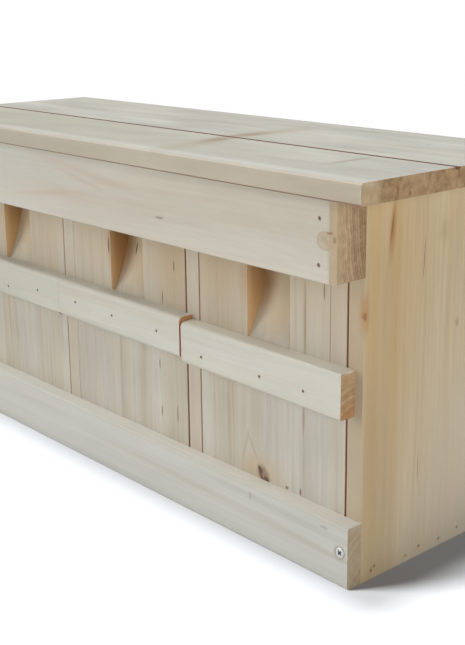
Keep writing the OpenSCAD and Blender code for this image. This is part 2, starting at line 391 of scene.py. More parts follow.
class FirGrain(Effect):
    """Solid fir: rings round a pith along X, fibres, warm bands and browner ends."""

    name = "fir_grain"
    inputs = {
        **dict.fromkeys(("Place", "Seed"), SocketKind.PLACE),
        **dict.fromkeys(("End", "Swell", "Ring", "Wobble", "Contrast", "Soft"), SocketKind.VALUE),
        **dict.fromkeys(("Cloud", "Streaks", "Fibre", "Bands"), SocketKind.VALUE),
        **dict.fromkeys(("End Lines", "End Blotch"), SocketKind.VALUE),
        **dict.fromkeys(("Pale", "Late", "Warm", "End Pale", "End Late"), SocketKind.COLOUR),
    }
    outputs = {
        "Color": SocketKind.COLOUR,
        "Roughness": SocketKind.VALUE,
        "Height": SocketKind.VALUE,
    }

    @staticmethod
    def wire(graph: Graph, given: dict[str, Socket]) -> dict[str, Socket]:
        """Wires rings, fibres and ends together.

        Args:
            graph: The group's tree.
            given: Its inputs by name.

        Returns:
            Colour, roughness and height of the wood.
        """
        calc, noise = graph.math, graph.noise
        spot = graph.vector("ADD", given["Place"], given["Seed"])
        sway = noise(spot, (2.2, 15.0, 15.0))
        shiver = noise(spot, (7.0, 70.0, 70.0))
        bend = calc("MULTIPLY", calc("MULTIPLY_ADD", shiver, 0.16, sway), given["Wobble"])
        across = graph.vector("LENGTH", graph.vector("MULTIPLY", given["Place"], (0.0, 1.0, 1.0)))
        reach = calc("ADD", calc("ADD", across, bend), given["Swell"])
        turns = calc("DIVIDE", reach, given["Ring"])
        uneven = graph.add("ShaderNodeTexNoise", noise_dimensions="1D")
        graph.feed(uneven.inputs["W"], calc("MULTIPLY", turns, 0.45))
        turns = calc("MULTIPLY_ADD", uneven.outputs[0], 1.7, turns)
        saw = calc("FRACT", turns)
        chance = graph.add("ShaderNodeTexWhiteNoise", noise_dimensions="1D")
        graph.feed(chance.inputs["W"], calc("FLOOR", turns))
        weight = calc("MULTIPLY_ADD", calc("POWER", chance.outputs["Value"], 2.5), 0.90, 0.10)
        line = calc("MULTIPLY", graph.remap(saw, 0.60, 0.93), graph.remap(saw, 1.0, 0.95))
        swelling = calc("MULTIPLY", calc("POWER", saw, 2.0), graph.remap(saw, 1.0, 0.90))
        crisp = calc("MULTIPLY_ADD", line, 0.60, calc("MULTIPLY", swelling, 0.40))
        wave = calc("COSINE", calc("MULTIPLY", saw, math.tau))
        faint = calc("MULTIPLY_ADD", wave, -0.35, 0.35)
        keen = calc("SUBTRACT", 1.0, given["Soft"])
        late = calc("ADD", calc("MULTIPLY", crisp, keen), calc("MULTIPLY", faint, given["Soft"]))
        end_late = calc("MULTIPLY", late, calc("MULTIPLY_ADD", chance.outputs["Value"], 0.6, 0.4))
        late = calc("MULTIPLY", late, weight)
        fibre = noise(spot, (16.0, 480.0, 480.0), 3.0)
        hair = noise(spot, (50.0, 1700.0, 1700.0), 2.0)
        broad = noise(spot, (1.2, 36.0, 36.0))
        narrow = noise(spot, (2.6, 150.0, 150.0))
        bands = graph.remap(calc("MULTIPLY_ADD", narrow, 0.7, broad), -0.16, 0.26)
        face = graph.mix(calc("MULTIPLY", late, given["Contrast"]), given["Pale"], given["Late"])
        face = graph.mix(calc("MULTIPLY", bands, given["Bands"]), face, given["Warm"])
        streaks = graph.remap(noise(spot, (6.0, 250.0, 250.0), 4.0), 0.0, 0.30)
        patches = graph.remap(noise(spot, (4.0, 32.0, 32.0)), -0.14, 0.14)
        streaks = calc("MULTIPLY", calc("MULTIPLY", streaks, patches), given["Streaks"])
        face = graph.mix(streaks, face, given["Late"])
        grain = calc("MULTIPLY_ADD", hair, 0.7, calc("MULTIPLY", fibre, 1.6))
        clouds = calc("MULTIPLY_ADD", noise(spot, (14.0, 46.0, 46.0), 4.0), given["Cloud"], 1.0)
        shade = calc("MULTIPLY_ADD", grain, given["Fibre"], clouds)
        face = graph.mix(1.0, face, shade, "MULTIPLY")
        pores = noise(spot, (300.0, 900.0, 900.0), 4.0)
        blotch = noise(spot, (60.0, 260.0, 260.0), 3.0)
        depth = calc("MULTIPLY_ADD", end_late, given["End Lines"], 0.22)
        depth = calc("MULTIPLY_ADD", pores, 0.6, depth)
        depth = calc("MULTIPLY_ADD", blotch, given["End Blotch"], depth)
        depth = calc("MINIMUM", calc("MAXIMUM", depth, 0.0), 1.0)
        ends = graph.mix(depth, given["End Pale"], given["End Late"])
        ends = graph.mix(1.0, ends, calc("MULTIPLY_ADD", pores, 0.30, 1.0), "MULTIPLY")
        relief = calc("MULTIPLY_ADD", late, 0.35, calc("MULTIPLY", grain, 0.5))
        rough_end = calc("MULTIPLY_ADD", end_late, 0.5, calc("MULTIPLY", pores, 1.2))
        relief = calc("ADD", relief, calc("MULTIPLY", rough_end, given["End"]))
        gloss = calc("MULTIPLY_ADD", fibre, 0.22, calc("MULTIPLY_ADD", late, -0.06, 0.66))
        return {
            "Color": graph.mix(given["End"], face, ends),
            "Roughness": calc("MULTIPLY_ADD", given["End"], 0.16, gloss),
            "Height": relief,
        }


class WoodMark(Effect):
    """A knot, streak, smear, painted light or painted shade laid over the grain."""

    name = "wood_mark"
    inputs = {
        "Color": SocketKind.COLOUR,
        "Place": SocketKind.PLACE,
        "Tint": SocketKind.COLOUR,
        "Strength": SocketKind.VALUE,
        "Softness": SocketKind.VALUE,
        "Ragged": SocketKind.VALUE,
    }
    outputs = {"Color": SocketKind.COLOUR}

    @staticmethod
    def wire(graph: Graph, given: dict[str, Socket]) -> dict[str, Socket]:
        """Wires the mark, whose place is one unit from its middle to its rim.

        Args:
            graph: The group's tree.
            given: Its inputs by name.

        Returns:
            The colour with the mark on it.
        """
        calc = graph.math
        ragged = graph.noise(given["Place"], (1.7, 1.9, 1.8), 3.0)
        away = graph.vector("LENGTH", given["Place"])
        away = calc("MULTIPLY_ADD", ragged, given["Ragged"], away)
        inner = calc("SUBTRACT", 1.0, given["Softness"])
        outer = calc("ADD", 1.0, given["Softness"])
        mask = graph.remap(away, inner, outer, 1.0, 0.0)
        share = calc("MULTIPLY", mask, given["Strength"])
        return {"Color": graph.mix(share, given["Color"], given["Tint"])}


class KnotSwell(Effect):
    """How far the rings are pushed aside round a knot."""

    name = "knot_swell"
    inputs = {"Place": SocketKind.PLACE, "Push": SocketKind.VALUE}
    outputs = {"Swell": SocketKind.VALUE}

    @staticmethod
    def wire(graph: Graph, given: dict[str, Socket]) -> dict[str, Socket]:
        """Wires a bell curve round the knot's middle.

        Args:
            graph: The group's tree.
            given: Its inputs by name.

        Returns:
            The push in metres.
        """
        away = graph.vector("LENGTH", given["Place"])
        bell = graph.math("EXPONENT", graph.math("MULTIPLY", graph.math("POWER", away, 2.0), -0.35))
        return {"Swell": graph.math("MULTIPLY", bell, given["Push"])}


class MetalWear(Effect):
    """Cloudy tarnish and fine scratches on small steel parts."""

    name = "metal_wear"
    inputs = {
        "Place": SocketKind.PLACE,
        "Bright": SocketKind.COLOUR,
        "Dull": SocketKind.COLOUR,
        "Tarnish": SocketKind.VALUE,
        "Polish": SocketKind.VALUE,
    }
    outputs = {
        "Color": SocketKind.COLOUR,
        "Roughness": SocketKind.VALUE,
        "Height": SocketKind.VALUE,
    }

    @staticmethod
    def wire(graph: Graph, given: dict[str, Socket]) -> dict[str, Socket]:
        """Wires clouds and scratches together.

        Args:
            graph: The group's tree.
            given: Its inputs by name.

        Returns:
            Colour, roughness and height of the metal.
        """
        clouds = graph.remap(graph.noise(given["Place"], (700.0, 700.0, 700.0), 3.0), -0.15, 0.2)
        scratches = graph.noise(given["Place"], (6000.0, 900.0, 6000.0), 2.0)
        share = graph.math("MULTIPLY", clouds, given["Tarnish"])
        dull = graph.math("MULTIPLY_ADD", share, 0.25, given["Polish"])
        return {
            "Color": graph.mix(share, given["Bright"], given["Dull"]),
            "Roughness": graph.math("MULTIPLY_ADD", scratches, 0.18, dull),
            "Height": graph.math("MULTIPLY_ADD", clouds, 0.5, scratches),
        }


@dataclass(frozen=True)
class FirFinish:
    """Look of one kind of bare fir.

    Args:
        pale: Early wood.
        late: Late wood, the darker line of each ring.
        warm: Broad bands of warmer wood.
        end_pale: Early wood on a cut end.
        end_late: Late wood on a cut end.
        ring_mm: Width of a ring.
        wobble_mm: How far the rings sway.
        contrast: How strongly the rings show.
        soft: How far the rings are blurred.
        cloud: How strongly light and dark clouds show.
        streaks: How strongly thin uneven streaks show.
        end_lines: How strongly the rings show on a cut end.
        end_blotch: How mottled a cut end is.
        fibre: How strongly the fibres show.
        bands: How strongly the broad bands show.
    """

    pale: Rgb
    late: Rgb
    warm: Rgb
    end_pale: Rgb = (192, 163, 127)
    end_late: Rgb = (132, 99, 66)
    ring_mm: float = 4.5
    wobble_mm: float = 9.0
    contrast: float = 0.8
    soft: float = 0.3
    cloud: float = 0.15
    streaks: float = 0.35
    end_lines: float = 0.7
    end_blotch: float = 1.2
    fibre: float = 0.10
    bands: float = 0.5

    def feeds(self) -> dict[str, Value]:
        """Gives the grain's inputs that belong to this kind of wood.

        Returns:
            Value of each input by name.
        """
        return {
            "Ring": self.ring_mm * MM,
            "Wobble": self.wobble_mm * MM,
            "Contrast": self.contrast,
            "Soft": self.soft,
            "Cloud": self.cloud,
            "Streaks": self.streaks,
            "End Lines": self.end_lines,
            "End Blotch": self.end_blotch,
            "Fibre": self.fibre,
            "Bands": self.bands,
            "Pale": tone(self.pale),
            "Late": tone(self.late),
            "Warm": tone(self.warm),
            "End Pale": tone(self.end_pale),
            "End Late": tone(self.end_late),
        }


@dataclass(frozen=True)
class SteelFinish:
    """Look of one kind of small steel part.

    Args:
        name: Name of its material.
        slot: Material slot of the record; not used.
        bright: Clean steel.
        dull: Tarnished steel.
        tarnish: How strongly the tarnish shows.
        polish: Roughness of the clean steel.
        metallic: Share that reflects as metal.
        wear: Strength of the wear's relief.
        wear_mm: Its depth.
    """

    name: str
    slot: str
    bright: Rgb
    dull: Rgb
    tarnish: float
    polish: float
    metallic: float
    wear: float = 0.25
    wear_mm: float = 0.05

    def material(self) -> bpy.types.Material:
        """Gives the steel's material, and builds it the first time.

        Returns:
            The material.
        """
        if self.name in bpy.data.materials:
            return bpy.data.materials[self.name]
        material = bpy.data.materials.new(self.name)
        material.use_nodes = True
        graph = Graph(material.node_tree)
        coords = graph.add("ShaderNodeTexCoord")
        wear = graph.group(
            MetalWear.tree(),
            {
                "Place": coords.outputs["Object"],
                "Bright": tone(self.bright),
                "Dull": tone(self.dull),
                "Tarnish": self.tarnish,
                "Polish": self.polish,
            },
        )
        shader = graph.surface(wear.outputs["Color"], wear, self.wear, self.wear_mm)
        shader.inputs["Metallic"].default_value = self.metallic
        return material


BRAD_STEEL = SteelFinish("brad_steel", "brad_steel", (112, 100, 88), (76, 62, 50), 0.8, 0.48, 0.6)
ZINC = SteelFinish("screw_zinc", "screw_zinc", (198, 200, 210), (158, 161, 172), 0.4, 0.52, 0.4)
# Darker steel for the screws' cross recess: painted shade
RECESS_SHADE = SteelFinish("screw_recess_shade", "screw_zinc", (112, 115, 126), (78, 80, 90), 0.5, 0.55, 0.2)


@dataclass(frozen=True)
class Mark:
    """A knot, streak, smear, painted light or painted shade at a place on the box.

    Args:
        kind: What it is.
        centre_mm: Its middle.
        reach_mm: From its middle to its rim along X, Y and Z.
        tint: Its colour.
        strength: How far it covers the wood.
        turn_deg: How it is turned about X, Y and Z.
        push_mm: How far it pushes the rings aside.
    """

    kind: MarkKind
    centre_mm: Point
    reach_mm: Point
    tint: Rgb
    strength: float = 0.7
    turn_deg: Point = (0.0, 0.0, 0.0)
    push_mm: float = 0.0

    def place(self, graph: Graph, coords: Socket) -> Socket:
        """Moves coordinates to the mark.

        Args:
            graph: The material's tree.
            coords: Object coordinates.

        Returns:
            Coordinates that are one unit long at the mark's rim.
        """
        return graph.mapping(
            coords,
            "TEXTURE",
            [part * MM for part in self.centre_mm],
            [math.radians(part) for part in self.turn_deg],
            [part * MM for part in self.reach_mm],
        )


# One maker of marks for each kind
pin = partial(Mark, MarkKind.PIN)
streak = partial(Mark, MarkKind.STREAK)
nail_hole_shade = partial(Mark, MarkKind.STAIN)
wash = partial(Mark, MarkKind.WASH)
sawn = partial(Mark, MarkKind.SAWN)
disc = partial(Mark, MarkKind.DISC)
smear = partial(Mark, MarkKind.SMEAR)


@dataclass(frozen=True)
class Spot:
    """Where one fastener sits: the middle of its head, and its sizes in metres."""

    head: Vector
    drive: Vector
    radius: float
    length: float


def fastener_spots(node: str, drives: Sequence[Drive]) -> list[Spot]:
    """Finds each fastener of a CAD node from its separate solids.

    Args:
        node: Name of the CAD node.
        drives: Ways that its fasteners may be driven, the second for those on the right.

    Returns:
        One spot for each fastener.
    """
    shape = bmesh.new()
    shape.from_mesh(frame["nodes"][node].data)
    bmesh.ops.remove_doubles(shape, verts=shape.verts, dist=CAD_WELD_MM * MM)
    waiting = set(shape.verts)
    spots = []
    while waiting:
        edge = [waiting.pop()]
        corners = []
        while edge:
            vert = edge.pop()
            corners.append(vert.co.copy())
            fresh = {link.other_vert(vert) for link in vert.link_edges} & waiting
            waiting -= fresh
            edge.extend(fresh)
        low = Vector([min(corner[axis] for corner in corners) for axis in range(3)])
        high = Vector([max(corner[axis] for corner in corners) for axis in range(3)])
        middle, half = (low + high) / 2, (high - low) / 2
        way = Vector(drives[-1 if middle.x > 0 else 0].value)
        along = abs(half.dot(way))
        spots.append(Spot(middle - way * along, way, sorted(half)[0], 2 * along))
    shape.free()
    return sorted(spots, key=lambda spot: tuple(round(part, 5) for part in spot.head))


@dataclass(frozen=True)
class Board:
    """One board of the box, which keeps its CAD shape and gets its own wood.

    Args:
        node: Its CAD node.
        grain: The way its fibres run.
        finish: Its kind of wood.
        pith_mm: From the board's middle to the heart of the tree it was sawn from.
        marks: What shows in its wood.
        lean_deg: How the heart leans from the board's length, about the two ways across.
        nails: The CAD node of the nails whose heads are set in it.
        drives: Ways that those nails are driven.
        rim_mm: Reach of the dark rim round a nail's head, painted shade of its sunk hole.
        rim_tint: Its colour.
        rim_strength: How far it covers the wood.
        end_facing: How squarely a face meets the fibres where it starts to look like a cut end,
            and where it fully does.
        seed_step: Shift of the grain's pattern from one node to the next.
        relief: How strongly the grain's relief shows.
        relief_mm: Its depth.
        sheen: Level of the gloss.
    """

    node: str
    grain: Grain
    finish: FirFinish
    pith_mm: Point
    marks: tuple[Mark, ...] = ()
    lean_deg: tuple[float, float] = (0.0, 0.0)
    nails: str = ""
    drives: tuple[Drive, ...] = (Drive.REARWARD,)
    rim_mm: float = 1.1
    rim_tint: Rgb = (116, 96, 74)
    rim_strength: float = 0.35
    end_facing: tuple[float, float] = (0.50, 0.97)
    seed_step: Point = (0.37, 0.23, 0.11)
    relief: float = 0.35
    relief_mm: float = 0.25
    sheen: float = 0.3

    def nail_rim_shades(self) -> list[Mark]:
        """Lists the dark rims round the nail heads in this board, painted shade of their sunk holes.

        Returns:
            One mark for each nail.
        """
        if not self.nails:
            return []
        # Each rim is painted shade of the nail's sunk hole
        return [
            nail_hole_shade(tuple(spot.head / MM), (self.rim_mm,) * 3, self.rim_tint, self.rim_strength)
            for spot in fastener_spots(self.nails, self.drives)
        ]

    def material(self) -> bpy.types.Material:
        """Builds the board's own wood.

        Returns:
            The material.
        """
        material = bpy.data.materials.new("fir_" + self.node)
        material.use_nodes = True
        graph = Graph(material.node_tree)
        coords = graph.add("ShaderNodeTexCoord")
        low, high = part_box(self.node)
        pith = (low + high) / 2 + Vector(self.pith_mm) * MM
        lean = Euler((0.0, *[math.radians(angle) for angle in self.lean_deg]))
        turn = (lean.to_matrix() @ self.grain.turn.to_matrix()).to_euler()
        shift = -(turn.to_matrix() @ pith)
        place = graph.mapping(coords.outputs["Object"], "POINT", shift, turn, (1.0, 1.0, 1.0))
        facing = graph.vector("DOT_PRODUCT", coords.outputs["Normal"], self.grain.axis)
        end = graph.remap(graph.math("ABSOLUTE", facing), *self.end_facing)
        marks = [*self.marks, *self.nail_rim_shades()]
        spots = [mark.place(graph, coords.outputs["Object"]) for mark in marks]
        swell: Value = 0.0
        for mark, spot in zip(marks, spots):
            if mark.push_mm:
                push = graph.group(KnotSwell.tree(), {"Place": spot, "Push": mark.push_mm * MM})
                swell = graph.math("ADD", push.outputs["Swell"], swell)
        number = sorted(frame["nodes"]).index(self.node)
        grain = graph.group(
            FirGrain.tree(),
            {
                "Place": place,
                "Seed": [step * number for step in self.seed_step],
                "End": end,
                "Swell": swell,
                **self.finish.feeds(),
            },
        )
        colour = grain.outputs["Color"]
        for mark, spot in zip(marks, spots):
            softness, ragged = mark.kind.value
            colour = graph.group(
                WoodMark.tree(),
                {
                    "Color": colour,
                    "Place": spot,
                    "Tint": tone(mark.tint),
                    "Strength": mark.strength,
                    "Softness": softness,
                    "Ragged": ragged,
                },
            ).outputs["Color"]
        shader = graph.surface(colour, grain, self.relief, self.relief_mm)
        shader.inputs["Specular IOR Level"].default_value = self.sheen
        return material

    def dress(self) -> None:
        """Puts the board's wood on its CAD node."""
        material = self.material()
        for slot in frame["nodes"][self.node].material_slots:
            slot.material = material
        LOG.info("%s: fir with %d marks", self.node, len(self.marks))


class Joinery(ABC):
    """A sub-assembly made of boards."""

    @abstractmethod
    def boards(self) -> list[Board]:
        """Lists the boards of the sub-assembly."""

    def dress(self) -> None:
        """Dresses every board."""
        for board in self.boards():
            board.dress()


ROOF_FIR = FirFinish(
    (177, 177, 168), (156, 148, 132), (166, 160, 146), (174, 145, 108), (112, 82, 50),
    ring_mm=6.0, wobble_mm=13.0, contrast=0.35, soft=0.8, cloud=0.70, bands=0.45, end_lines=0.25,
    end_blotch=1.7,
)
BEAM_FIR = FirFinish(
    (193, 188, 174), (177, 161, 140), (188, 178, 160), (202, 175, 142), (122, 92, 60),
    ring_mm=4.5, wobble_mm=8.0, contrast=0.6, soft=0.6, cloud=0.16, streaks=0.4, end_lines=1.4,
    end_blotch=0.9,
)
DOOR_FIR = FirFinish(
    (188, 184, 172), (152, 135, 111), (175, 161, 138), ring_mm=6.0, wobble_mm=7.0, contrast=0.44,
    soft=0.55, cloud=0.30, bands=0.55, fibre=0.17, streaks=0.6,
)
SIDE_FIR = FirFinish(
    (195, 177, 144), (164, 131, 86), (185, 156, 111), ring_mm=4.0, wobble_mm=6.0, contrast=0.28,
    soft=0.6, bands=0.4, cloud=0.20, fibre=0.22, streaks=0.55,
)
BATTEN_FIR = FirFinish(
    (198, 197, 187), (180, 169, 150), (192, 184, 168), (193, 165, 126), (134, 102, 68),
    contrast=0.45, soft=0.6, cloud=0.22, end_lines=1.1, end_blotch=0.9,
)
RAIL_FIR = FirFinish(
    (192, 192, 185), (167, 164, 155), (187, 183, 173), (184, 166, 138), (142, 122, 96),
    contrast=0.75, ring_mm=3.8, wobble_mm=9.0, soft=0.5, cloud=0.18, end_lines=0.9, end_blotch=0.6,
)
INNER_FIR = FirFinish((193, 187, 174), (170, 152, 127), (184, 170, 147), ring_mm=6.0, contrast=0.6)


@dataclass
class Roof(Joinery):
    """Two planks side by side, and the cleats that hold them from below."""

    top_mm: float = high_mm("roof_front_plank").z
    middle_mm: float = (low_mm("roof_front_plank").z + high_mm("roof_front_plank").z) / 2
    front_mm: float = low_mm("roof_front_plank").y
    seam_mm: float = (high_mm("roof_front_plank").y + low_mm("roof_rear_plank").y) / 2
    end_mm: float = high_mm("roof_front_plank").x
    edge_tint: Rgb = (171, 151, 124)
    # Pale colour of the painted highlight along the front edge of the roof's top
    rim_tint: Rgb = (206, 206, 200)
    seam_shade_tint: Rgb = (98, 74, 62)
    arris_shade_tint: Rgb = (140, 110, 90)

    def boards(self) -> list[Board]:
        """Lists planks and cleats.

        Returns:
            The boards of the roof.
        """
        top, end, front = self.top_mm, self.end_mm, self.front_mm
        smudge, faint = (134, 118, 98), (158, 146, 126)
        # Dark seam line and dark slit where it meets the end: painted shade inside the gap between the
        # planks
        seam = (
            sawn((0.0, self.seam_mm + 0.2, top), (900.0, 1.7, 1.5), self.seam_shade_tint, 1.0),
            pin((end, self.seam_mm, top), (3.0, 1.9, 1.2), (84, 60, 38), 0.9),
        )
        front_marks = (
            wash((0.0, front - 2.0, self.middle_mm), (900.0, 2.4, 60.0), self.edge_tint, 0.7),
            # Dark line on the lower front arris: painted shade where the roof overhangs the beam
            sawn((0.0, front, top - 10.5), (900.0, 1.3, 0.7), self.arris_shade_tint, 1.0),
            # Greyer, darker left part of the top: painted shade
            streak((-150.0, -44.0, top), (210.0, 44.0, 30.0), (158, 154, 139), 0.62),
            # Pale band along the front of the top: painted highlight on the rounded edge
            streak((0.0, front + 5.0, top), (900.0, 4.5, 2.0), self.rim_tint, 0.35),
            sawn((0.0, front + 0.2, top - 0.2), (900.0, 1.1, 1.1), (164, 154, 138), 0.4),
            smear((66.0, -44.0, top), (9.0, 30.0, 5.0), faint, 0.6, (0, 0, 12)),
            smear((60.0, -22.0, top), (5.0, 13.0, 5.0), smudge, 0.75, (0, 0, 14)),
            smear((170.0, -31.0, top), (2.2, 13.0, 3.0), smudge, 0.55),
            pin((111.0, -52.5, top), (4.0, 1.0, 2.0), faint, 0.5),
            pin((end, -53.2, 209.0), (2.0, 0.5, 3.2), (124, 88, 48), 0.7),
            pin((end, -44.5, 206.6), (2.0, 0.8, 1.0), (122, 78, 48), 0.7),
            wash((end, -72.0, self.middle_mm), (1.0, 7.0, 9.0), (196, 176, 144), 0.5),
            *seam,
        )
        rear_marks = (
            smear((58.0, 20.0, top), (9.0, 27.0, 5.0), faint, 0.6, (0, 0, -2)),
            smear((57.0, 3.0, top), (5.0, 13.0, 5.0), smudge, 0.75, (0, 0, -4)),
            pin((162.6, 0.7, top), (2.4, 0.8, 1.5), smudge, 0.5),
            pin((161.0, 40.4, top), (1.8, 1.0, 1.5), smudge, 0.5),
            *seam,
        )
        planks = [
            Board(node, Grain.LENGTHWISE, ROOF_FIR, pith, marks, lean)
            for node, pith, marks, lean in (
                ("roof_front_plank", (0.0, 58.0, -30.0), front_marks, (1.0, -1.6)),
                ("roof_rear_plank", (0.0, -8.0, -38.0), rear_marks, (1.4, 0.8)),
            )
        ]
        cleats = [
            Board(side + "_roof_cleat", Grain.CROSSWISE, INNER_FIR, (across, 0.0, -30.0))
            for side, across in (("left", 20.0), ("right", -20.0))
        ]
        return planks + cleats


@dataclass
class FrontBeam(Joinery):
    """Heavy beam under the front of the roof, with a round knot at its right end."""

    face_mm: float = low_mm("front_beam").y
    end_mm: float = high_mm("front_beam").x
    knot_x_mm: float = 189.6
    knot_z_mm: float = 183.3

    def boards(self) -> list[Board]:
        """Lists the beam alone.

        Returns:
            The one board.
        """
        face, end = self.face_mm, self.end_mm
        arc, knot = (182, 158, 136), (self.knot_x_mm, face, self.knot_z_mm)
        marks = (
            # Paler left part of the face: painted light
            streak((-190.0, face, 183.0), (150.0, 40.0, 80.0), (200, 202, 200), 0.35),
            streak((-2.0, face, 193.0), (48.0, 3.0, 2.0), arc, 0.32, (0, 7.0, 0)),
            streak((-12.0, face, 189.0), (26.0, 3.0, 1.2), arc, 0.32, (0, 10.0, 0)),
            streak((-50.0, face, 176.5), (36.0, 3.0, 1.4), arc, 0.36, (0, -7.0, 0)),
            streak((-20.0, face, 178.0), (44.0, 3.0, 3.4), arc, 0.22, (0, 3.0, 0)),
            disc(knot, (5.2, 8.0, 4.6), (150, 122, 94), 0.50, push_mm=3.0),
            disc(knot, (4.6, 8.0, 4.0), (187, 173, 150), 0.80),
            smear((knot[0] - 0.8, face, knot[2] + 1.0), (2.0, 8.0, 1.8), (164, 146, 120), 0.6),
            smear((knot[0] + 1.4, face, knot[2] - 1.2), (1.4, 8.0, 1.6), (170, 150, 124), 0.6),
            wash((end - 1.0, face + 1.0, 183.0), (2.6, 2.6, 70.0), (175, 154, 124), 0.50),
            streak((end, face + 2.5, 183.0), (1.5, 5.0, 60.0), (190, 166, 134), 0.55),
            pin((knot[0] + 2.6, face, knot[2] + 4.0), (1.6, 3.0, 0.6), (142, 108, 78), 0.7),
            pin((knot[0] + 4.6, face + 1.0, knot[2] + 0.6), (0.6, 3.0, 1.4), (146, 112, 80), 0.6),
            pin((63.6, face, 176.6), (3.4, 2.0, 0.7), (118, 104, 92), 0.6, (0, -2, 0)),
            streak((end, face + 19.5, 183.0), (1.5, 6.0, 60.0), (118, 86, 56), 0.35),
        )
        pith, lean = (0.0, 150.0, 12.0), (0.9, 1.4)
        return [Board("front_beam", Grain.LENGTHWISE, BEAM_FIR, pith, marks, lean, "beam_nails")]


@dataclass
class BottomRail(Joinery):
    """Strip along the bottom of the front, screwed to the side panels."""

    face_mm: float = low_mm("bottom_rail").y

    def boards(self) -> list[Board]:
        """Lists the rail alone.

        Returns:
            The one board.
        """
        face = self.face_mm
        grey = (146, 141, 131)
        marks = (
            pin((122.0, face, 27.5), (1.1, 2.0, 2.2), grey, 0.5, push_mm=1.5),
            pin((178.4, face, 29.2), (2.8, 2.0, 0.9), grey, 0.5, push_mm=1.2),
            streak((0.0, face + 6.0, 34.0), (900.0, 5.0, 3.0), (192, 185, 169), 0.30),
            # Darker band on the upper front rounding: painted shade that tones down its highlight
            streak((0.0, face + 0.5, 33.5), (900.0, 1.0, 1.0), (160, 154, 141), 0.55),
            # Paler left part of the face: painted light
            streak((-150.0, face, 17.0), (190.0, 40.0, 60.0), (212, 213, 208), 0.15),
            streak((136.0, face, 27.4), (46.0, 3.0, 1.5), (160, 158, 150), 0.40, (0, 1, 0)),
            streak((60.0, face, 18.6), (90.0, 3.0, 2.2), (172, 166, 148), 0.42, (0, 1, 0)),
            streak((168.0, face, 16.4), (30.0, 3.0, 1.4), (172, 166, 146), 0.45, (0, 2, 0)),
            # Darker ring round each screw head: painted shade of its countersink
            *(
                wash(tuple(spot.head / MM), (3.6, 3.6, 3.6), (128, 118, 106), 0.55)
                for spot in fastener_spots("rail_screws", (Drive.REARWARD,))
            ),
        )
        pith, lean = (0.0, 30.0, -38.0), (0.6, 0.5)
        return [Board("bottom_rail", Grain.LENGTHWISE, RAIL_FIR, pith, marks, lean)]


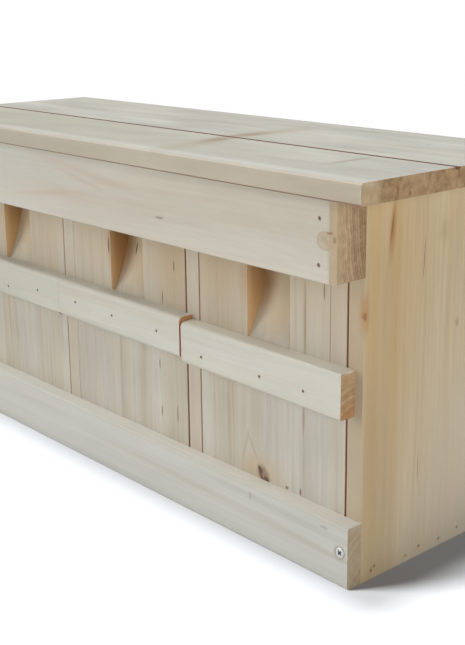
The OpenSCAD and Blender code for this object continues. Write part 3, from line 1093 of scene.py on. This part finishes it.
@dataclass
class Doors(Joinery):
    """Three lift-out doors, each with a batten nailed across it."""

    face_mm: float = low_mm("middle_door").y
    room_pitch_mm: float = low_mm("right_divider").x - low_mm("left_divider").x
    entrance_half_mm: float = 16.5
    cut_tint: Rgb = (192, 152, 100)
    ramp_painted_light: Rgb = (206, 186, 154)
    shade_tint: Rgb = (185, 163, 130)
    tan_tint: Rgb = (168, 142, 104)
    edge_tints: tuple[Rgb, Rgb, Rgb] = ((188, 160, 140), (160, 120, 102), (168, 128, 104))

    def common_marks(self, node: str, room: int) -> tuple[Mark, ...]:
        """Lists the marks that every door has: sawn edges, browner entrance, painted light on the ramp,
        painted shade in the entrance's corner and at the top of its wall, and a warmer painted shade at the
        top under the beam.

        Args:
            node: The door's CAD node.
            room: -1, 0 or 1, from the left.

        Returns:
            The marks.
        """
        middle, face = room * self.room_pitch_mm, self.face_mm
        edges = tuple(
            sawn((side.x / MM, face + 9.0, 100.0), (0.2, 14.0, 300.0), tint, 1.0)
            for side, tint in zip(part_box(node), ((190, 164, 140), self.edge_tints[room + 1]))
        )
        walls = tuple(
            sawn((wall, face + 8.0, 150.0), (0.3, 14.0, 60.0), self.cut_tint, 0.85)
            for wall in (middle - self.entrance_half_mm, middle + self.entrance_half_mm)
        )
        # Warmer, darker top of the door: painted shade under the beam
        top = streak((middle, face, 172.0), (400.0, 40.0, 46.0), self.shade_tint, 0.55)
        # Paler, warmer ramp: painted light that lifts the shade under the beam
        ramp = wash((middle, face + 12.0, 150.0), (15.0, 9.0, 40.0), self.ramp_painted_light, 0.7)
        corner = middle - self.entrance_half_mm
        strength = 0.35 if room < 0 else 0.90
        # Brown near the entrance's corner at the top of the ramp: painted shade cast by the wall and the
        # beam
        corner_shade = streak((corner + 1.0, face + 10.0, 146.0), (7.0, 9.0, 15.0), (150, 108, 62), strength)
        # Darker top of the entrance's wall: painted shade under the beam
        wall_top = streak((corner, face + 12.0, 172.0), (0.6, 9.0, 26.0), (142, 100, 58), 0.75)
        wall_edge = wash((corner, face, 140.0), (0.6, 3.0, 70.0), (204, 174, 132), 0.5)
        return (top, ramp, corner_shade, *edges, *walls, wall_top, wall_edge)

    def knot_marks(self) -> tuple[Mark, ...]:
        """Lists the torn brown knot low on the right door and the colour round it.

        Returns:
            The marks.
        """
        face = self.face_mm
        brown, dark, faint = (142, 120, 102), (86, 68, 58), (160, 140, 116)
        return (
            smear((120.5, face, 38.5), (13.0, 6.0, 8.0), (186, 162, 126), 0.6, push_mm=7.0),
            streak((107.6, face, 51.0), (0.7, 4.0, 8.0), faint, 0.45, (0, 15, 0)),
            streak((113.2, face, 51.4), (0.7, 4.0, 8.0), faint, 0.45, (0, -30, 0)),
            pin((122.0, face, 37.0), (4.2, 6.0, 5.6), brown, 0.95, (0, -36, 0)),
            pin((119.4, face, 39.4), (1.2, 6.0, 2.4), dark, 0.95, (0, -42, 0)),
            pin((120.2, face, 36.0), (0.8, 6.0, 3.2), dark, 0.85, (0, -34, 0)),
            pin((124.4, face, 34.8), (1.6, 6.0, 2.2), dark, 0.85, (0, -60, 0)),
        )

    def batten_marks(self, room: int) -> tuple[Mark, ...]:
        """Lists the marks on a batten: on its ends, painted shade towards the left, and painted light on the
        right batten's top.

        Args:
            room: -1, 0 or 1, from the left.

        Returns:
            The marks.
        """
        face, half_pitch = self.face_mm, self.room_pitch_mm / 2
        pale, brown, tan = (202, 198, 187), (146, 104, 82), (166, 122, 84)
        # Darker towards the left: painted shade
        left_shade = streak((-180.0, face - 5.0, 80.0), (150.0, 60.0, 60.0), (166, 161, 146), 0.45)
        tight = (-half_pitch, face - 5.0, 80.0)
        wide = (half_pitch, face - 5.0, 80.0)
        closed = (
            sawn(tight, (0.35, 40.0, 90.0), pale, 1.0),
            pin((0.8 - half_pitch, face - 10.0, 93.6), (2.2, 3.0, 0.8), (128, 100, 84), 0.9),
        )
        opened = sawn(wide, (0.9, 40.0, 90.0), brown if room > 0 else tan, 1.0)
        glow = streak((3 * half_pitch, face - 4.0, 91.0), (1.0, 9.0, 7.0), (160, 110, 60), 0.6)
        # Paler top of the right batten: painted light
        top = wash((0.0, face - 4.0, 115.4), (900.0, 5.5, 1.5), (214, 207, 192), 0.9)
        return ((left_shade, *closed), (left_shade, *closed, opened), (opened, glow, top))[room + 1]

    def boards(self) -> list[Board]:
        """Lists doors and battens.

        Returns:
            The boards of the three doors.
        """
        face = self.face_mm
        line, speck, crack = (140, 114, 88), (108, 86, 64), (76, 56, 40)
        right_marks = (
            *self.knot_marks(),
            streak((86.0, face, 160.0), (20.0, 20.0, 44.0), self.tan_tint, 0.45),
            streak((94.0, face, 70.0), (14.0, 20.0, 50.0), self.tan_tint, 0.22),
            streak((128.0, face, 150.0), (6.0, 30.0, 30.0), self.tan_tint, 0.30),
            streak((154.0, face, 132.0), (0.7, 6.0, 20.0), line, 0.75),
            streak((153.2, face, 79.0), (0.9, 6.0, 8.0), line, 0.6),
            streak((172.0, face, 134.0), (0.4, 6.0, 30.0), line, 0.8),
            pin((167.6, face, 150.6), (0.4, 6.0, 4.0), speck, 0.8),
            pin((140.7, face, 35.6), (1.2, 4.0, 1.0), (124, 88, 66), 0.8),
            pin((151.1, face, 36.4), (0.7, 4.0, 2.0), (124, 88, 66), 0.8),
        )
        middle_marks = (
            streak((44.0, face, 150.0), (14.0, 20.0, 36.0), self.tan_tint, 0.45),
            wash((-self.entrance_half_mm, face + 9.0, 150.0), (0.8, 9.0, 40.0), (142, 98, 52), 0.5),
            pin((46.4, face, 142.6), (0.7, 4.0, 3.0), speck, 0.75),
            pin((-18.2, face, 144.4), (0.6, 6.0, 5.0), crack, 0.9),
            pin((-5.9, face + 12.5, 142.8), (0.6, 8.0, 3.6), crack, 0.85),
            pin((34.9, face, 121.6), (0.5, 4.0, 4.5), speck, 0.8),
            pin((30.6, face, 79.6), (0.5, 4.0, 3.0), speck, 0.8),
            pin((31.6, face, 49.6), (0.5, 4.0, 3.4), speck, 0.8),
            pin((46.8, face, 51.6), (0.5, 4.0, 5.4), speck, 0.75),
        )
        doors = [
            Board(node, Grain.UPRIGHT, DOOR_FIR, pith, (*self.common_marks(node, room), *marks), lean)
            for node, room, pith, marks, lean in (
                ("left_door", -1, (150.0, 70.0, 0.0), (), (0.3, 0.4)),
                ("middle_door", 0, (-170.0, 60.0, 0.0), middle_marks, (-0.3, 0.3)),
                ("right_door", 1, (-150.0, 90.0, 0.0), right_marks, (0.4, -0.4)),
            )
        ]
        battens = [
            Board(
                side + "_batten", Grain.LENGTHWISE, BATTEN_FIR, (0.0, 14.0, -42.0),
                self.batten_marks(room), (0.8, 1.0), side + "_batten_brads",
            )
            for side, room in (("left", -1), ("middle", 0), ("right", 1))
        ]
        return doors + battens


@dataclass
class Body(Joinery):
    """Side panels, dividers, floor and back."""

    end_mm: float = high_mm("right_side").x
    inner_mm: float = low_mm("right_side").x
    front_mm: float = low_mm("right_side").y
    streak_tint: Rgb = (160, 116, 62)
    edge_tint: Rgb = (174, 158, 133)
    inner_tint: Rgb = (180, 150, 124)
    divider_tints: tuple[Rgb, Rgb] = ((214, 204, 188), (184, 146, 126))

    def gap_mark(self, face: float, tint: Rgb) -> Mark:
        """Gives the browner sawn face, at a place along X, that the gap beside a door shows."""
        return sawn((face, self.front_mm + 7.0, 100.0), (0.2, 12.0, 300.0), tint, 1.0)

    def boards(self) -> list[Board]:
        """Lists every board of the body.

        Returns:
            The boards.
        """
        end, front = self.end_mm, self.front_mm
        ochre, brown = (190, 156, 104), (128, 86, 42)
        side_marks = (
            streak((end, -39.0, 120.0), (12.0, 6.0, 240.0), ochre, 0.50),
            streak((end, -24.0, 120.0), (12.0, 2.6, 240.0), (184, 146, 92), 0.40),
            streak((end, -18.0, 150.0), (12.0, 9.0, 90.0), ochre, 0.40),
            streak((end, 18.8, 140.0), (12.0, 1.6, 120.0), ochre, 0.25),
            streak((end, 48.0, 0.0), (12.0, 60.0, 110.0), (210, 203, 188), 0.55),
            wash((end, front - 1.0, 100.0), (40.0, 1.6, 300.0), self.edge_tint, 0.85),
            wash((end, front - 1.0, 40.0), (40.0, 1.6, 60.0), (184, 172, 152), 0.7),
            streak((end, -26.8, 183.0), (6.0, 1.8, 12.0), self.streak_tint, 0.75, (-5, 0, 0)),
            streak((end, -27.2, 185.0), (6.0, 0.6, 7.0), brown, 0.75, (-8, 0, 0)),
            smear((end, front + 0.5, 144.5), (3.0, 2.0, 8.0), (176, 130, 82), 0.75, push_mm=2.0),
            pin((end, front + 0.5, 143.0), (2.0, 0.8, 2.0), (132, 84, 48), 0.7),
            streak((end, -2.8, 52.0), (6.0, 0.4, 6.5), self.streak_tint, 0.65),
            pin((end, -2.3, 165.0), (6.0, 0.35, 11.0), (126, 98, 62), 0.65, (-2.5, 0, 0)),
            smear((end, 13.3, 177.0), (3.0, 3.0, 5.0), (160, 134, 94), 0.35),
            smear((end, 26.0, 126.0), (3.0, 1.2, 2.0), (142, 112, 72), 0.5),
            streak((end, -36.0, 30.0), (12.0, 12.0, 70.0), (160, 140, 108), 0.40),
            self.gap_mark(self.inner_mm, self.inner_tint),
        )
        dividers = []
        for side, across, tint in zip(("left", "right"), (140.0, -150.0), self.divider_tints):
            node = side + "_divider"
            low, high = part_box(node)
            middle = (low.x + high.x) / 2 / MM
            marks = (
                wash((middle, front - 1.0, 100.0), (9.0, 1.6, 300.0), (176, 162, 140), 0.40),
                self.gap_mark(low.x / MM, self.inner_tint),
                self.gap_mark(high.x / MM, tint),
            )
            dividers.append(Board(node, Grain.UPRIGHT, INNER_FIR, (across, 60.0, 0.0), marks))
        floor_and_back = [
            Board(node, Grain.LENGTHWISE, INNER_FIR, pith, (), lean, nails, (drive,))
            for node, pith, lean, nails, drive in (
                ("floor_board", (0.0, 10.0, -50.0), (0.8, 0.8), "divider_nails", Drive.UPWARD),
                ("lower_back_board", (0.0, -44.0, 18.0), (1.2, 1.0), "lower_back_nails", Drive.FORWARD),
                ("upper_back_board", (0.0, -52.0, -14.0), (-1.0, 1.6), "upper_back_nails", Drive.FORWARD),
            )
        ]
        return [
            Board(
                "right_side", Grain.UPRIGHT, SIDE_FIR, (4.0, 160.0, 0.0), side_marks, (0.0, 0.0),
                "right_floor_brads", (Drive.LEFTWARD,),
            ),
            Board(
                "left_side", Grain.UPRIGHT, SIDE_FIR, (-60.0, 30.0, 0.0),
                (self.gap_mark(-self.inner_mm, self.inner_tint),), (1.0, 1.4),
                "left_floor_brads", (Drive.RIGHTWARD,),
            ),
            *dividers,
            *floor_and_back,
        ]


class FastenerSet(ABC):
    """One CAD node of fasteners, modelled in full."""

    inner_steels: tuple[SteelFinish, ...] = ()

    @abstractmethod
    def shape(self, spot: Spot) -> bmesh.types.BMesh:
        """Models one fastener, its head at the origin and its shank pointing down."""

    def build(self, node: str, drives: Sequence[Drive], finish: SteelFinish) -> bpy.types.Object:
        """Models every fastener of a CAD node as one piece that replaces it.

        Args:
            node: Name of the CAD node.
            drives: Ways that its fasteners are driven.
            finish: Their steel.

        Returns:
            The new piece.
        """
        whole = bmesh.new()
        for spot in fastener_spots(node, drives):
            one = self.shape(spot)
            turn = Vector((0.0, 0.0, -1.0)).rotation_difference(spot.drive).to_matrix().to_4x4()
            bmesh.ops.transform(one, matrix=Matrix.Translation(spot.head) @ turn, verts=one.verts)
            bmesh.ops.recalc_face_normals(one, faces=one.faces)
            part = bpy.data.meshes.new("part")
            one.to_mesh(part)
            one.free()
            whole.from_mesh(part)
            bpy.data.meshes.remove(part)
        mesh = bpy.data.meshes.new(node + "_made")
        whole.to_mesh(mesh)
        whole.free()
        for steel in (finish, *self.inner_steels):
            mesh.materials.append(steel.material())
        piece = bpy.data.objects.new(node + "_made", mesh)
        bpy.context.scene.collection.objects.link(piece)
        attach(piece, frame["nodes"][node]["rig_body"])
        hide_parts(node)
        LOG.info("%s: %d faces", piece.name, len(mesh.polygons))
        return piece


def spun(profile: Sequence[tuple[float, float]], steps: int) -> bmesh.types.BMesh:
    """Turns a profile round the Z axis into a closed solid.

    Args:
        profile: Radius and height of each point, both ends on the axis.
        steps: Number of sides.

    Returns:
        The solid.
    """
    solid = bmesh.new()
    verts = [solid.verts.new((radius, 0.0, height)) for radius, height in profile]
    edges = [solid.edges.new(pair) for pair in zip(verts, verts[1:])]
    bmesh.ops.spin(
        solid, geom=[*verts, *edges], cent=(0, 0, 0), axis=(0, 0, 1), angle=math.tau,
        steps=steps, use_merge=True,
    )
    bmesh.ops.remove_doubles(solid, verts=solid.verts, dist=WELD_MM * MM)
    return solid


@dataclass
class Nails(FastenerSet):
    """Finishing nails and brads with dished heads.

    Args:
        head_ratio: Head's diameter against the shank's.
        dish_share: Depth of the dish against the head's radius.
        sides: Number of sides.
    """

    head_ratio: float = 1.4
    dish_share: float = 0.35
    sides: int = 20

    def shape(self, spot: Spot) -> bmesh.types.BMesh:
        """Models one nail.

        Args:
            spot: Its sizes.

        Returns:
            The nail, head up.
        """
        head = spot.radius
        shank = head / self.head_ratio
        low = -2 * shank
        tip = 3 * shank
        return spun(
            [
                (0.0, -self.dish_share * head),
                (0.45 * head, -0.8 * self.dish_share * head),
                (0.72 * head, 0.0),
                (0.90 * head, -0.02 * head),
                (head, -0.14 * head),
                (head, 0.75 * low),
                (shank, low),
                (shank, tip - spot.length),
                (0.45 * shank, 0.4 * tip - spot.length),
                (0.0, -spot.length),
            ],
            self.sides,
        )


@dataclass
class Screws(FastenerSet):
    """Countersunk wood screws with a cross recess and a real thread.

    Args:
        shank_mm: Diameter over the thread.
        core_ratio: Diameter of the core against the thread's.
        wing_mm: Half width of a recess wing.
        wing_reach_ratio: Length of a wing against the head's radius.
        recess_mm: Depth of the recess.
        recess_taper: Size of its bottom against its mouth.
        flat_ratio: Radius of the head's flat against the CAD head's.
        edge_ratio: Radius of the head's edge against the CAD head's.
        edge_drop_ratio: How far the edge lies below the flat, against the CAD head's radius.
        pitch_mm: Pitch of the thread.
        thread_share: Share of the length that is threaded.
        thread_half: Half width of the thread's foot against the pitch.
        sink_ratio: How far the thread's foot is sunk in the core.
        neck_mm: Length of the step from shank to core.
        tip_ratio: Length of the tip against the thread's diameter.
        turn_steps: Steps in one turn of the thread.
        inner_steels: Look of the recess, a darker steel that is painted shade.
    """

    shank_mm: float = 3.0
    core_ratio: float = 0.68
    wing_mm: float = 0.52
    wing_reach_ratio: float = 0.43
    recess_mm: float = 1.4
    recess_taper: float = 0.5
    flat_ratio: float = 0.82
    edge_ratio: float = 0.88
    edge_drop_ratio: float = 0.04
    pitch_mm: float = 1.35
    thread_share: float = 0.6
    thread_half: float = 0.32
    sink_ratio: float = 0.96
    neck_mm: float = 0.3
    tip_ratio: float = 2.0
    turn_steps: int = 14
    inner_steels: tuple[SteelFinish, ...] = (RECESS_SHADE,)

    @property
    def tip(self) -> float:
        """Length of the tip in metres."""
        return self.tip_ratio * self.shank_mm * MM

    def shape(self, spot: Spot) -> bmesh.types.BMesh:
        """Models one screw.

        Args:
            spot: Its sizes.

        Returns:
            The screw, head up.
        """
        screw = self.head_and_shank(spot)
        self.cut_thread(screw, spot.length)
        return screw

    def head_and_shank(self, spot: Spot) -> bmesh.types.BMesh:
        """Models the recess first, then the head round it and the shank below.

        Args:
            spot: The screw's sizes.

        Returns:
            A closed solid.
        """
        solid = bmesh.new()
        wing = self.wing_mm * MM
        bmesh.ops.create_circle(solid, cap_ends=True, segments=4, radius=wing * math.sqrt(2))
        for edge in list(solid.edges):
            way = (edge.verts[0].co + edge.verts[1].co).normalized()
            arm = bmesh.ops.extrude_edge_only(solid, edges=[edge])["geom"]
            tips = [part for part in arm if isinstance(part, bmesh.types.BMVert)]
            step = way * (self.wing_reach_ratio * spot.radius - wing)
            bmesh.ops.translate(solid, vec=step, verts=tips)
        rim = [edge for edge in solid.edges if edge.is_boundary]
        bmesh.ops.subdivide_edges(solid, edges=rim, cuts=2)
        cross = list(solid.faces)
        loop = [edge for edge in solid.edges if edge.is_boundary]
        shank = self.shank_mm * MM / 2
        core = shank * self.core_ratio
        head_low = shank - spot.radius
        neck = head_low - spot.length * (1 - self.thread_share) / 2
        for radius, height in (
            (self.flat_ratio * spot.radius, 0.0),
            (self.edge_ratio * spot.radius, -self.edge_drop_ratio * spot.radius),
            (shank, head_low),
            (shank, neck),
            (core, neck - self.neck_mm * MM),
            (core, self.tip - spot.length),
            (0.1 * core, -spot.length),
        ):
            loop = self.widen(solid, loop, radius, height)
        bmesh.ops.contextual_create(solid, geom=loop)
        floor = bmesh.ops.extrude_face_region(solid, geom=cross)["geom"]
        bmesh.ops.delete(solid, geom=[face for face in cross if face.is_valid], context="FACES")
        sunk = [part for part in floor if isinstance(part, bmesh.types.BMVert)]
        bmesh.ops.scale(solid, vec=(self.recess_taper, self.recess_taper, 1.0), verts=sunk)
        bmesh.ops.translate(solid, vec=(0, 0, -self.recess_mm * MM), verts=sunk)
        # The recess faces take the darker steel, painted shade
        for vert in sunk:
            for face in vert.link_faces:
                face.material_index = 1
        bmesh.ops.remove_doubles(solid, verts=solid.verts, dist=WELD_MM * MM)
        return solid

    @staticmethod
    def widen(
        solid: bmesh.types.BMesh, loop: list[bmesh.types.BMEdge], radius: float, height: float
    ) -> list[bmesh.types.BMEdge]:
        """Extrudes a loop of edges to a circle.

        Args:
            solid: The mesh.
            loop: The open loop.
            radius: Radius of the circle.
            height: Its height.

        Returns:
            The new open loop.
        """
        fresh = bmesh.ops.extrude_edge_only(solid, edges=loop)["geom"]
        for part in fresh:
            if isinstance(part, bmesh.types.BMVert):
                flat = Vector((part.co.x, part.co.y, 0.0)).normalized() * radius
                part.co = (flat.x, flat.y, height)
        return [part for part in fresh if isinstance(part, bmesh.types.BMEdge) and part.is_boundary]

    def cut_thread(self, solid: bmesh.types.BMesh, length: float) -> None:
        """Winds the thread round the core.

        Args:
            solid: The screw.
            length: Its length.
        """
        pitch = self.pitch_mm * MM
        crest = self.shank_mm * MM / 2
        root = crest * self.core_ratio * self.sink_ratio
        start = -length * (1 - self.thread_share) - pitch
        turns = math.floor((length - self.tip + start) / pitch)
        outline = ((root, self.thread_half), (crest, 0.0), (root, -self.thread_half))
        verts = [solid.verts.new((radius, 0.0, start + lift * pitch)) for radius, lift in outline]
        first = solid.faces.new(verts)
        steps = turns * self.turn_steps
        bmesh.ops.spin(
            solid, geom=[first, *first.edges, *verts], cent=(0, 0, 0), axis=(0, 0, 1),
            dvec=(0, 0, -pitch / self.turn_steps), angle=math.tau * turns, steps=steps,
        )


@dataclass
class Fasteners:
    """Every nail, brad and screw of the box."""

    nails: tuple[tuple[str, tuple[Drive, ...]], ...] = (
        ("left_batten_brads", (Drive.REARWARD,)),
        ("middle_batten_brads", (Drive.REARWARD,)),
        ("right_batten_brads", (Drive.REARWARD,)),
        ("left_floor_brads", (Drive.RIGHTWARD,)),
        ("right_floor_brads", (Drive.LEFTWARD,)),
        ("divider_nails", (Drive.UPWARD,)),
        ("lower_back_nails", (Drive.FORWARD,)),
        ("upper_back_nails", (Drive.FORWARD,)),
        ("beam_nails", (Drive.REARWARD,)),
    )
    screws: tuple[tuple[str, tuple[Drive, ...]], ...] = (
        ("rail_screws", (Drive.REARWARD,)),
        ("roof_screws", (Drive.UPWARD,)),
        ("cleat_screws", (Drive.LEFTWARD, Drive.RIGHTWARD)),
    )

    def build(self) -> None:
        """Models all of them."""
        for node, drives in self.nails:
            Nails().build(node, drives, BRAD_STEEL)
        for node, drives in self.screws:
            Screws().build(node, drives, ZINC)


@dataclass(frozen=True)
class Viewpoint:
    """The camera, set from the photograph's own perspective, in its pixels.

    Args:
        width_px: Width of the picture.
        height_px: Its height.
        focal_px: Focal length.
        centre_px: Where the optical axis meets the picture.
        turn_deg: Turn of the view from straight at the front towards the left.
        tilt_deg: Tilt of the view below the horizon.
        roll_deg: Roll about the view.
        place_mm: Where the camera stands.
        sensor_mm: Sensor's long side.
    """

    width_px: int = 465
    height_px: int = 645
    focal_px: float = 1142.44
    centre_px: tuple[float, float] = (241.61, 285.57)
    turn_deg: float = 48.455
    tilt_deg: float = 14.542
    roll_deg: float = 0.599
    place_mm: Point = (552.74, -442.45, 297.11)
    sensor_mm: float = 36.0

    def build(self) -> None:
        """Sets up the scene's camera."""
        lens = bpy.data.cameras.new("camera")
        lens.sensor_width = self.sensor_mm
        lens.lens = self.focal_px * self.sensor_mm / self.height_px
        lens.shift_x = (self.width_px / 2 - self.centre_px[0]) / self.height_px
        lens.shift_y = (self.centre_px[1] - self.height_px / 2) / self.height_px
        turn, tilt = math.radians(self.turn_deg), math.radians(self.tilt_deg)
        ahead = Vector(
            (-math.sin(turn) * math.cos(tilt), math.cos(turn) * math.cos(tilt), -math.sin(tilt))
        )
        right = Vector((math.cos(turn), math.sin(turn), 0.0))
        roll = Matrix.Rotation(math.radians(self.roll_deg), 3, ahead)
        right = roll @ right
        axes = Matrix((right, right.cross(ahead), -ahead)).transposed().to_4x4()
        camera = bpy.data.objects.new("camera", lens)
        camera.matrix_world = Matrix.Translation(Vector(self.place_mm) * MM) @ axes
        bpy.context.scene.collection.objects.link(camera)
        bpy.context.scene.camera = camera


@dataclass(frozen=True)
class Softbox:
    """A flat lamp that faces the middle of the box.

    Args:
        name: Its name.
        way: Direction from the box to the lamp.
        distance_m: How far off it stands.
        size_m: Its width and height.
        level: Light on a surface that faces it, where 1 shows a colour as written.
        reach: What it lights.
        shadows: Whether it casts shadows.
        aim_mm: The point it faces.
    """

    name: str
    way: Point
    distance_m: float
    size_m: tuple[float, float]
    level: float
    reach: Reach = Reach.BOX
    shadows: bool = True
    aim_mm: Point = (0.0, 0.0, 100.0)

    def build(self, receivers: dict[Reach, bpy.types.Collection]) -> None:
        """Hangs the lamp.

        Args:
            receivers: What a lamp of each reach lights.
        """
        lamp = bpy.data.lights.new(self.name, "AREA")
        lamp.shape = "RECTANGLE"
        lamp.size, lamp.size_y = self.size_m
        lamp.use_shadow = self.shadows
        lamp.energy = math.pi ** 2 * self.distance_m ** 2 * self.level
        way = Vector(self.way).normalized()
        holder = bpy.data.objects.new(self.name, lamp)
        holder.location = Vector(self.aim_mm) * MM + way * self.distance_m
        holder.rotation_euler = way.to_track_quat("Z", "Y").to_euler()
        holder.light_linking.receiver_collection = receivers[self.reach]
        bpy.context.scene.collection.objects.link(holder)


@dataclass
class Studio:
    """Plain pale floor, soft lamps and a white surround.

    Args:
        floor_m: Width of the floor.
        floor_rgb: Grey of the floor for the light that it throws back.
        seen_rgb: Colour of the floor for the camera, white where it is fully lit.
        fade_m: How far from the middle the floor starts to fade into white, and where it ends.
        ambient: Level of the surround's light.
        lamps: Lamps for the box and for the floor.
    """

    floor_m: float = 12.0
    floor_rgb: float = 0.184
    seen_rgb: Point = (0.294, 0.300, 0.309)
    fade_m: tuple[float, float] = (0.5, 0.9)
    ambient: float = 0.06
    lamps: tuple[Softbox, ...] = (
        Softbox("key", (-0.64, -0.70, 0.34), 6.0, (3.4, 3.4), 0.42),
        Softbox("overhead", (-0.16, -0.17, 0.97), 5.0, (2.0, 2.0), 0.77),
        Softbox("fill", (1.0, -0.35, 0.12), 1.6, (0.9, 0.9), 0.52),
        Softbox("lift", (-0.10, -0.55, 0.83), 5.0, (2.0, 2.0), 0.20, shadows=False),
        Softbox("rear", (-0.30, 1.0, 0.02), 3.0, (2.0, 0.4), 0.45),
        Softbox("floor_key", (-0.53, -0.74, 0.41), 6.0, (2.2, 0.9), 4.7, Reach.FLOOR),
        Softbox("floor_top", (0.01, -0.045, 1.0), 5.0, (0.8, 0.8), 2.45, Reach.FLOOR),
        Softbox("floor_side", (0.88, 0.09, 0.46), 5.0, (2.0, 2.0), 0.58, Reach.FLOOR),
    )

    def build(self) -> None:
        """Sets up floor, lamps and surround."""
        scene = bpy.context.scene
        scene.view_settings.view_transform = "Standard"
        floor = self.lay_floor()
        receivers: dict[Reach, bpy.types.Collection] = {}
        for reach in Reach:
            lit = bpy.data.collections.new(reach.name.lower() + "_lit")
            lit.objects.link(floor)
            lit.collection_objects[0].light_linking.link_state = reach.value
            receivers[reach] = lit
        self.wrap()
        for lamp in self.lamps:
            lamp.build(receivers)

    def lay_floor(self) -> bpy.types.Object:
        """Lays the floor, which the camera sees as white where it is fully lit.

        Returns:
            The floor.
        """
        sheet = bmesh.new()
        bmesh.ops.create_grid(sheet, x_segments=1, y_segments=1, size=self.floor_m / 2)
        mesh = bpy.data.meshes.new("floor")
        sheet.to_mesh(mesh)
        sheet.free()
        floor = bpy.data.objects.new("floor", mesh)
        bpy.context.scene.collection.objects.link(floor)
        material = bpy.data.materials.new("floor_paper")
        material.use_nodes = True
        graph = Graph(material.node_tree)
        material.node_tree.nodes.remove(material.node_tree.nodes["Principled BSDF"])
        paper = graph.add("ShaderNodeBsdfDiffuse")
        path = graph.add("ShaderNodeLightPath")
        plain, seen = self.floor_rgb, self.seen_rgb
        colour = graph.mix(path.outputs["Is Camera Ray"], (plain,) * 3 + (1.0,), (*seen, 1.0))
        graph.feed(paper.inputs["Color"], colour)
        white = graph.add("ShaderNodeEmission")
        place = graph.add("ShaderNodeTexCoord").outputs["Object"]
        far = graph.remap(graph.vector("LENGTH", place), *self.fade_m)
        blend = graph.add("ShaderNodeMixShader")
        graph.feed(blend.inputs[0], graph.math("MULTIPLY", far, graph.looked_at()))
        graph.feed(blend.inputs[1], paper.outputs["BSDF"])
        graph.feed(blend.inputs[2], white.outputs["Emission"])
        output = material.node_tree.nodes["Material Output"]
        graph.feed(output.inputs["Surface"], blend.outputs["Shader"])
        mesh.materials.append(material)
        return floor

    def wrap(self) -> None:
        """Wraps the scene in white for the camera and reflections, and dim light otherwise."""
        world = bpy.data.worlds.new("surround")
        world.use_nodes = True
        graph = Graph(world.node_tree)
        back = world.node_tree.nodes["Background"]
        back.inputs["Color"].default_value = (1.0, 1.0, 1.0, 1.0)
        level = graph.math("MULTIPLY_ADD", graph.looked_at(), 1.0 - self.ambient, self.ambient)
        graph.feed(back.inputs["Strength"], level)
        bpy.context.scene.world = world


def main() -> None:
    """Builds and dresses the whole nest box in its studio."""
    logging.basicConfig(level=logging.INFO, format="%(name)s: %(message)s")
    Viewpoint().build()
    Studio().build()
    for part in (Roof(), FrontBeam(), BottomRail(), Doors(), Body()):
        part.dress()
    Fasteners().build()


if __name__ == "__main__":
    main()
